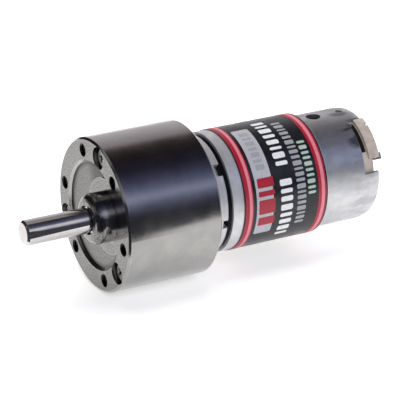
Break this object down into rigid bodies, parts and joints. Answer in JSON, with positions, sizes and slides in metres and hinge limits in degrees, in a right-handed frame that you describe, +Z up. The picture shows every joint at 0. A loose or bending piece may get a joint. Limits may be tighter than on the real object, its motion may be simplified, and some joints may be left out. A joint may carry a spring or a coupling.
{
  "type": "geared dc motor",
  "caption": "Brushed DC motor with an offset spur gearbox, a round output shaft in a raised boss and a ring of tapped holes for face mounting.",
  "frame": {"origin": "centre of the gearbox's mounting face, on the gearbox and motor axis", "axes": "+X along the output shaft, out of the mounting face; +Z up, towards the motor's upper vent hole; the output shaft's axis is offset towards +Y and +Z"},
  "size_m": [0.0956, 0.037, 0.037],
  "materials": {
    "die_cast": "satin, finely turned face",
    "turned_steel": "satin, fine turning marks round it",
    "screw_steel": "dark zinc, satin",
    "sintered_bronze": "matt, oily",
    "ground_steel": "ground",
    "brass": "satin",
    "zinc_plate": "pale zinc, satin",
    "motor_steel": "nickel plate, satin",
    "label_film": "printed film, slight sheen",
    "ferrite": "matt",
    "spring_steel": "dark spring steel",
    "cream_nylon": "moulded, satin",
    "carbon": "matt graphite",
    "phosphor_bronze": "satin strip",
    "tinned_brass": "tinned, dull",
    "lamination": "stacked sheet edges",
    "red_fibre": "vulcanised fibre",
    "enamelled_copper": "enamelled wire, glossy",
    "dark_resin": "moulded resin",
    "copper": "drawn copper",
    "washer_nylon": "nylon",
    "gear_steel": "machined, oiled",
    "polished_steel": "ground and polished"
  },
  "bodies": {
    "motor_body": {"front_plate": "die_cast", "gear_housing": "turned_steel", "rear_plate": "die_cast", "case_screws": "screw_steel", "output_bushing_front": "sintered_bronze", "output_bushing_rear": "sintered_bronze", "gear_pin_1": "ground_steel", "gear_pin_2": "ground_steel", "pin_spacers": "brass", "pin_washers": "brass", "motor_adapter": "zinc_plate", "motor_screws": "screw_steel", "motor_can": "motor_steel", "flux_ring": "zinc_plate", "label_sleeve": "label_film", "magnet_left": "ferrite", "magnet_right": "ferrite", "magnet_clips": "spring_steel", "front_bearing": "sintered_bronze", "rear_bearing": "sintered_bronze", "end_cap": "cream_nylon", "brush_left": "carbon", "brush_right": "carbon", "brush_arm_left": "phosphor_bronze", "brush_arm_right": "phosphor_bronze", "terminal_left": "tinned_brass", "terminal_right": "tinned_brass"},
    "rotor": {"rotor_shaft": "ground_steel", "motor_pinion": "brass", "armature_core": "lamination", "core_insulators": "red_fibre", "windings": "enamelled_copper", "commutator_base": "dark_resin", "commutator_segments": "copper", "rotor_washers": "washer_nylon"},
    "cluster_1": {"pinion_1": "gear_steel", "wheel_1": "brass"},
    "cluster_2": {"pinion_2": "gear_steel", "wheel_2": "brass"},
    "cluster_3": {"pinion_3": "gear_steel", "wheel_3": "brass"},
    "output": {"output_shaft": "polished_steel", "output_gear": "gear_steel", "output_washer": "washer_nylon", "retaining_ring": "spring_steel"}
  },
  "joints": [
    {"name": "rotor_spin", "type": "hinge", "parent": "motor_body", "child": "rotor", "pos_m": [-0.045, 0, 0], "axis": [1, 0, 0], "continuous": true},
    {"name": "cluster_1_spin", "type": "hinge", "parent": "motor_body", "child": "cluster_1", "pos_m": [-0.0165, 0.00216, 0.00894], "axis": [1, 0, 0], "continuous": true},
    {"name": "cluster_2_spin", "type": "hinge", "parent": "motor_body", "child": "cluster_2", "pos_m": [-0.0135, 0.00661, 0.0023], "axis": [1, 0, 0], "continuous": true},
    {"name": "cluster_3_spin", "type": "hinge", "parent": "motor_body", "child": "cluster_3", "pos_m": [-0.0095, 0.00724, -0.00568], "axis": [1, 0, 0], "continuous": true},
    {"name": "output_spin", "type": "hinge", "parent": "motor_body", "child": "output", "pos_m": [0, 0.00661, 0.0023], "axis": [1, 0, 0], "continuous": true}
  ],
  "couplings": [
    {"joint": "cluster_1_spin", "follows": "rotor_spin", "ratio": -0.4375},
    {"joint": "cluster_2_spin", "follows": "rotor_spin", "ratio": 0.16595},
    {"joint": "cluster_3_spin", "follows": "rotor_spin", "ratio": -0.062946},
    {"joint": "output_spin", "follows": "rotor_spin", "ratio": 0.023876}
  ]
}
